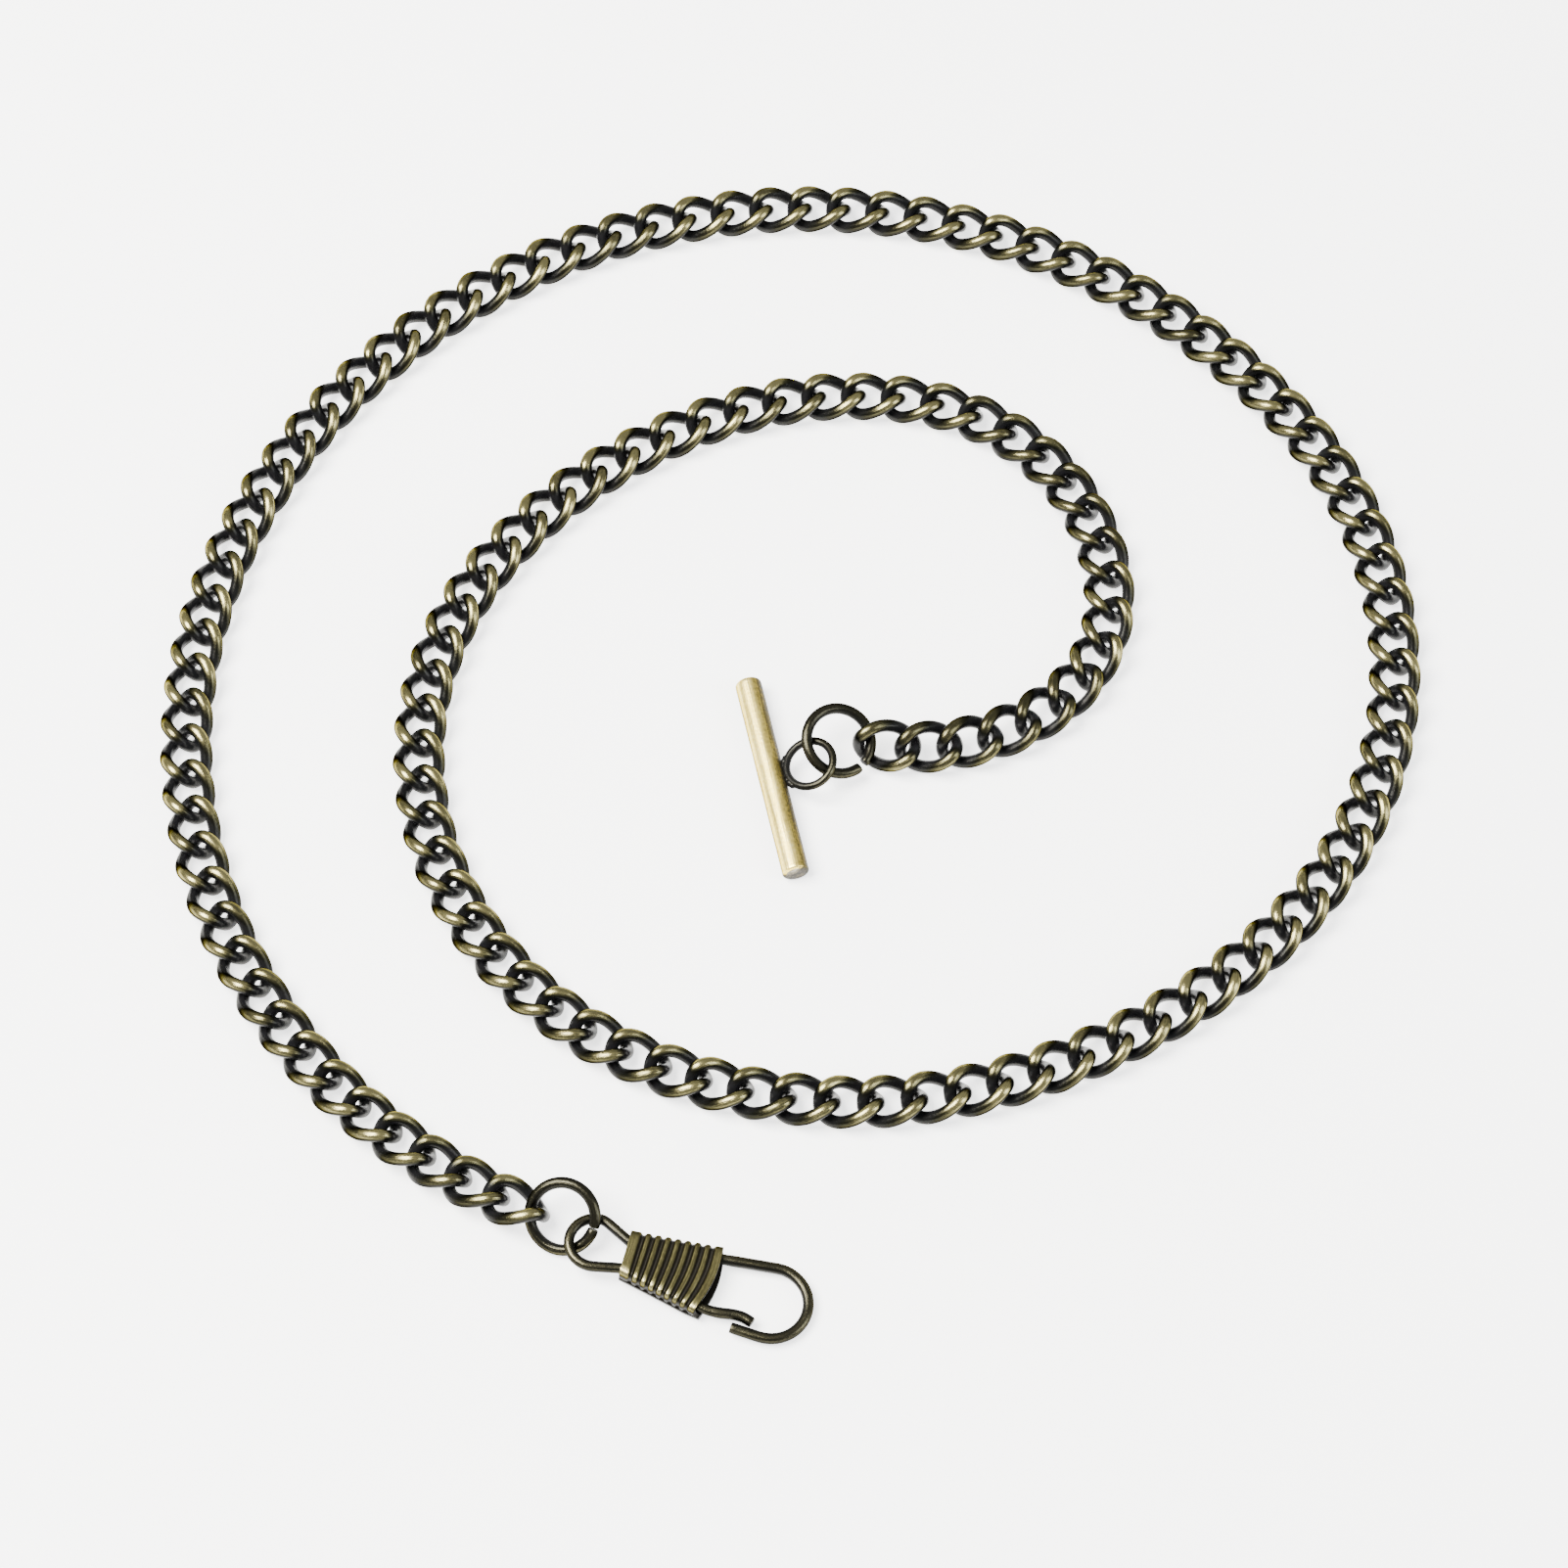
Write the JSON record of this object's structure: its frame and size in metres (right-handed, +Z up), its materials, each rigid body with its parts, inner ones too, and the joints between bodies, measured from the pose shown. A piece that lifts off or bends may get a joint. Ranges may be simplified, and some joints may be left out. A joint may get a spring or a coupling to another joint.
{
  "type": "pocket watch chain",
  "caption": "Curb-link pocket watch chain laid in a spiral, with a T-bar on a soldered loop at one end and a sprung snap hook with a ribbed sleeve at the other.",
  "frame": {"origin": "middle of the bounding box at the surface the chain lies on", "axes": "+Z up from the surface; +Y away from the viewer, +X to the right, with the clasp end towards -Y and the T-bar in the middle of the spiral"},
  "size_m": [0.1392, 0.1457, 0.0054],
  "materials": {
    "brass_satin": "satin, brushed lengthwise and lightly worn",
    "brass_worn": "satin, worn bright on the crowns and tarnished brown-black in the recesses",
    "brass_dark": "semi-gloss, tarnished olive"
  },
  "bodies": {
    "toggle": {"t_bar": "brass_satin", "t_bar_loop": "brass_dark"},
    "t_bar_ring": {"t_bar_ring": "brass_dark"},
    "run_01": {"chain_01": "brass_worn"},
    "run_02": {"chain_02": "brass_worn"},
    "run_03": {"chain_03": "brass_worn"},
    "run_04": {"chain_04": "brass_worn"},
    "run_05": {"chain_05": "brass_worn"},
    "run_06": {"chain_06": "brass_worn"},
    "run_07": {"chain_07": "brass_worn"},
    "run_08": {"chain_08": "brass_worn"},
    "run_09": {"chain_09": "brass_worn"},
    "run_10": {"chain_10": "brass_worn"},
    "run_11": {"chain_11": "brass_worn"},
    "run_12": {"chain_12": "brass_worn"},
    "run_13": {"chain_13": "brass_worn"},
    "run_14": {"chain_14": "brass_worn"},
    "run_15": {"chain_15": "brass_worn"},
    "run_16": {"chain_16": "brass_worn"},
    "run_17": {"chain_17": "brass_worn"},
    "run_18": {"chain_18": "brass_worn"},
    "run_19": {"chain_19": "brass_worn"},
    "run_20": {"chain_20": "brass_worn"},
    "run_21": {"chain_21": "brass_worn"},
    "run_22": {"chain_22": "brass_worn"},
    "run_23": {"chain_23": "brass_worn"},
    "run_24": {"chain_24": "brass_worn"},
    "run_25": {"chain_25": "brass_worn"},
    "run_26": {"chain_26": "brass_worn"},
    "run_27": {"chain_27": "brass_worn"},
    "run_28": {"chain_28": "brass_worn"},
    "run_29": {"chain_29": "brass_worn"},
    "run_30": {"chain_30": "brass_worn"},
    "run_31": {"chain_31": "brass_worn"},
    "run_32": {"chain_32": "brass_worn"},
    "run_33": {"chain_33": "brass_worn"},
    "run_34": {"chain_34": "brass_worn"},
    "run_35": {"chain_35": "brass_worn"},
    "run_36": {"chain_36": "brass_worn"},
    "run_37": {"chain_37": "brass_worn"},
    "run_38": {"chain_38": "brass_worn"},
    "run_39": {"chain_39": "brass_worn"},
    "run_40": {"chain_40": "brass_worn"},
    "run_41": {"chain_41": "brass_worn"},
    "run_42": {"chain_42": "brass_worn"},
    "run_43": {"chain_43": "brass_worn"},
    "run_44": {"chain_44": "brass_worn"},
    "clasp_ring": {"clasp_ring": "brass_dark"},
    "clasp": {"clasp_wire": "brass_worn", "clasp_sleeve": "brass_satin"},
    "gate": {"clasp_gate": "brass_worn"}
  },
  "joints": [
    {"name": "bar_on_ring", "type": "hinge", "parent": "t_bar_ring", "child": "toggle", "pos_m": [0.00176, -0.00613, 0.00301], "axis": [-0.3403, -0.0754, 0.9373], "range_deg": [-45, 60]},
    {"name": "bar_ring_on_chain", "type": "hinge", "parent": "run_01", "child": "t_bar_ring", "pos_m": [0.00497, -0.00345, 0.00335], "axis": [0.2695, -0.2588, 0.9276], "range_deg": [-60, 60]},
    {"name": "clasp_ring_on_chain", "type": "hinge", "parent": "run_44", "child": "clasp_ring", "pos_m": [-0.0238, -0.05958, 0.00276], "axis": [-0.229, -0.524, 0.8204], "range_deg": [-60, 60]},
    {"name": "clasp_on_ring", "type": "hinge", "parent": "clasp_ring", "child": "clasp", "pos_m": [-0.02047, -0.06226, 0.0022], "axis": [0.0592, -0.0151, 0.9981], "range_deg": [-60, 30]},
    {"name": "clasp_gate_spring", "type": "hinge", "parent": "clasp", "child": "gate", "pos_m": [-0.01047, -0.06847, 0.00151], "axis": [0.0592, -0.0151, 0.9981], "range_deg": [0, 30], "stiffness_Nm_per_rad": 0.001},
    {"name": "link_hinge_01", "type": "hinge", "parent": "run_02", "child": "run_01", "pos_m": [0.02078, -0.00273, 0.00229], "axis": [0.1133, -0.2402, -0.9641], "range_deg": [-22, 4]},
    {"name": "link_hinge_02", "type": "hinge", "parent": "run_03", "child": "run_02", "pos_m": [0.03284, 0.00638, 0.00216], "axis": [0.6063, -0.5133, 0.6074], "range_deg": [-5, 22]},
    {"name": "link_hinge_03", "type": "hinge", "parent": "run_04", "child": "run_03", "pos_m": [0.03544, 0.01811, 0.00186], "axis": [-0.6054, -0.1122, 0.788], "range_deg": [-15, 22]},
    {"name": "link_hinge_04", "type": "hinge", "parent": "run_05", "child": "run_04", "pos_m": [0.03024, 0.0324, 0.00186], "axis": [-0.5358, -0.3032, -0.788], "range_deg": [-22, 20]},
    {"name": "link_hinge_05", "type": "hinge", "parent": "run_06", "child": "run_05", "pos_m": [0.0211, 0.04029, 0.00186], "axis": [0.2131, 0.5776, -0.788], "range_deg": [-22, 20]},
    {"name": "link_hinge_06", "type": "hinge", "parent": "run_07", "child": "run_06", "pos_m": [0.00615, 0.04328, 0.00186], "axis": [0.0376, 0.6145, 0.788], "range_deg": [-22, 22]},
    {"name": "link_hinge_07", "type": "hinge", "parent": "run_08", "child": "run_07", "pos_m": [-0.00578, 0.04126, 0.00186], "axis": [0.2194, -0.5752, 0.788], "range_deg": [-22, 22]},
    {"name": "link_hinge_08", "type": "hinge", "parent": "run_09", "child": "run_08", "pos_m": [-0.01958, 0.0346, 0.00186], "axis": [0.3136, -0.5298, -0.788], "range_deg": [-22, 22]},
    {"name": "link_hinge_09", "type": "hinge", "parent": "run_10", "child": "run_09", "pos_m": [-0.0288, 0.02676, 0.00186], "axis": [-0.4725, 0.3947, -0.788], "range_deg": [-22, 22]},
    {"name": "link_hinge_10", "type": "hinge", "parent": "run_11", "child": "run_10", "pos_m": [-0.03747, 0.01414, 0.00186], "axis": [-0.5404, 0.2949, 0.788], "range_deg": [-22, 22]},
    {"name": "link_hinge_11", "type": "hinge", "parent": "run_12", "child": "run_11", "pos_m": [-0.04078, 0.0025, 0.00186], "axis": [0.6147, -0.0336, 0.788], "range_deg": [-22, 22]},
    {"name": "link_hinge_12", "type": "hinge", "parent": "run_13", "child": "run_12", "pos_m": [-0.03991, -0.01277, 0.00186], "axis": [0.607, 0.1029, -0.788], "range_deg": [-22, 22]},
    {"name": "link_hinge_13", "type": "hinge", "parent": "run_14", "child": "run_13", "pos_m": [-0.03535, -0.02398, 0.00186], "axis": [-0.5081, -0.3476, -0.788], "range_deg": [-22, 22]},
    {"name": "link_hinge_14", "type": "hinge", "parent": "run_15", "child": "run_14", "pos_m": [-0.02542, -0.03562, 0.00186], "axis": [-0.4228, -0.4475, 0.788], "range_deg": [-22, 22]},
    {"name": "link_hinge_15", "type": "hinge", "parent": "run_16", "child": "run_15", "pos_m": [-0.01505, -0.04186, 0.00186], "axis": [0.2118, 0.5781, 0.788], "range_deg": [-22, 22]},
    {"name": "link_hinge_16", "type": "hinge", "parent": "run_17", "child": "run_16", "pos_m": [-0.00027, -0.04589, 0.00186], "axis": [0.1109, 0.6056, -0.788], "range_deg": [-22, 22]},
    {"name": "link_hinge_17", "type": "hinge", "parent": "run_18", "child": "run_17", "pos_m": [0.01184, -0.04602, 0.00186], "axis": [0.0976, -0.6079, -0.788], "range_deg": [-22, 22]},
    {"name": "link_hinge_18", "type": "hinge", "parent": "run_19", "child": "run_18", "pos_m": [0.02674, -0.04241, 0.00186], "axis": [0.1877, -0.5864, 0.788], "range_deg": [-22, 22]},
    {"name": "link_hinge_19", "type": "hinge", "parent": "run_20", "child": "run_19", "pos_m": [0.0377, -0.03725, 0.00186], "axis": [-0.3331, 0.5178, 0.788], "range_deg": [-22, 22]},
    {"name": "link_hinge_20", "type": "hinge", "parent": "run_21", "child": "run_20", "pos_m": [0.05003, -0.02812, 0.00186], "axis": [-0.3978, 0.4699, -0.788], "range_deg": [-22, 22]},
    {"name": "link_hinge_21", "type": "hinge", "parent": "run_22", "child": "run_21", "pos_m": [0.05797, -0.01898, 0.00186], "axis": [0.5298, -0.3136, -0.788], "range_deg": [-22, 22]},
    {"name": "link_hinge_22", "type": "hinge", "parent": "run_22", "child": "run_23", "pos_m": [0.06456, -0.00516, 0.00186], "axis": [0.5771, -0.2144, 0.788], "range_deg": [-22, 22]},
    {"name": "link_hinge_23", "type": "hinge", "parent": "run_23", "child": "run_24", "pos_m": [0.06669, 0.00676, 0.00186], "axis": [-0.6157, 0, 0.788], "range_deg": [-22, 22]},
    {"name": "link_hinge_24", "type": "hinge", "parent": "run_24", "child": "run_25", "pos_m": [0.06535, 0.02203, 0.00186], "axis": [-0.6063, -0.1069, -0.788], "range_deg": [-22, 22]},
    {"name": "link_hinge_25", "type": "hinge", "parent": "run_25", "child": "run_26", "pos_m": [0.06121, 0.0334, 0.00186], "axis": [0.5332, 0.3078, -0.788], "range_deg": [-22, 22]},
    {"name": "link_hinge_26", "type": "hinge", "parent": "run_26", "child": "run_27", "pos_m": [0.05252, 0.04604, 0.00186], "axis": [0.481, 0.3843, 0.788], "range_deg": [-22, 22]},
    {"name": "link_hinge_27", "type": "hinge", "parent": "run_27", "child": "run_28", "pos_m": [0.04383, 0.05447, 0.00186], "axis": [-0.3694, -0.4925, 0.788], "range_deg": [-22, 22]},
    {"name": "link_hinge_28", "type": "hinge", "parent": "run_28", "child": "run_29", "pos_m": [0.031, 0.06288, 0.00186], "axis": [-0.3043, -0.5352, -0.788], "range_deg": [-22, 22]},
    {"name": "link_hinge_29", "type": "hinge", "parent": "run_29", "child": "run_30", "pos_m": [0.01976, 0.0674, 0.00186], "axis": [0.145, 0.5983, -0.788], "range_deg": [-22, 22]},
    {"name": "link_hinge_30", "type": "hinge", "parent": "run_30", "child": "run_31", "pos_m": [0.00464, 0.06993, 0.00186], "axis": [0.0577, 0.613, 0.788], "range_deg": [-22, 22]},
    {"name": "link_hinge_31", "type": "hinge", "parent": "run_31", "child": "run_32", "pos_m": [-0.00746, 0.06932, 0.00186], "axis": [0.1162, -0.6046, 0.788], "range_deg": [-22, 22]},
    {"name": "link_hinge_32", "type": "hinge", "parent": "run_32", "child": "run_33", "pos_m": [-0.02229, 0.06541, 0.00186], "axis": [0.1966, -0.5834, -0.788], "range_deg": [-22, 22]},
    {"name": "link_hinge_33", "type": "hinge", "parent": "run_33", "child": "run_34", "pos_m": [-0.03314, 0.06003, 0.00186], "axis": [-0.3454, 0.5097, -0.788], "range_deg": [-22, 22]},
    {"name": "link_hinge_34", "type": "hinge", "parent": "run_34", "child": "run_35", "pos_m": [-0.04524, 0.05061, 0.00186], "axis": [-0.409, 0.4602, 0.788], "range_deg": [-22, 22]},
    {"name": "link_hinge_35", "type": "hinge", "parent": "run_35", "child": "run_36", "pos_m": [-0.05321, 0.04148, 0.00186], "axis": [0.5112, -0.3432, 0.788], "range_deg": [-22, 22]},
    {"name": "link_hinge_36", "type": "hinge", "parent": "run_36", "child": "run_37", "pos_m": [-0.06094, 0.02823, 0.00186], "axis": [0.5504, -0.2759, -0.788], "range_deg": [-22, 22]},
    {"name": "link_hinge_37", "type": "hinge", "parent": "run_37", "child": "run_38", "pos_m": [-0.06488, 0.01678, 0.00186], "axis": [-0.6043, 0.1175, -0.788], "range_deg": [-22, 22]},
    {"name": "link_hinge_38", "type": "hinge", "parent": "run_38", "child": "run_39", "pos_m": [-0.06675, 0.00156, 0.00186], "axis": [-0.6148, 0.0322, 0.788], "range_deg": [-22, 22]},
    {"name": "link_hinge_39", "type": "hinge", "parent": "run_39", "child": "run_40", "pos_m": [-0.0657, -0.0105, 0.00186], "axis": [0.5999, 0.1385, 0.788], "range_deg": [-22, 22]},
    {"name": "link_hinge_40", "type": "hinge", "parent": "run_40", "child": "run_41", "pos_m": [-0.06121, -0.02517, 0.00186], "axis": [0.5748, 0.2206, -0.788], "range_deg": [-22, 22]},
    {"name": "link_hinge_41", "type": "hinge", "parent": "run_41", "child": "run_42", "pos_m": [-0.05534, -0.03576, 0.00186], "axis": [-0.4917, -0.3705, -0.788], "range_deg": [-22, 22]},
    {"name": "link_hinge_42", "type": "hinge", "parent": "run_42", "child": "run_43", "pos_m": [-0.04527, -0.04732, 0.00193], "axis": [-0.4034, -0.4057, 0.8202], "range_deg": [-19, 22]},
    {"name": "link_hinge_43", "type": "hinge", "parent": "run_43", "child": "run_44", "pos_m": [-0.03553, -0.05453, 0.00217], "axis": [0.3775, 0.705, 0.6004], "range_deg": [-16, 22]}
  ]
}
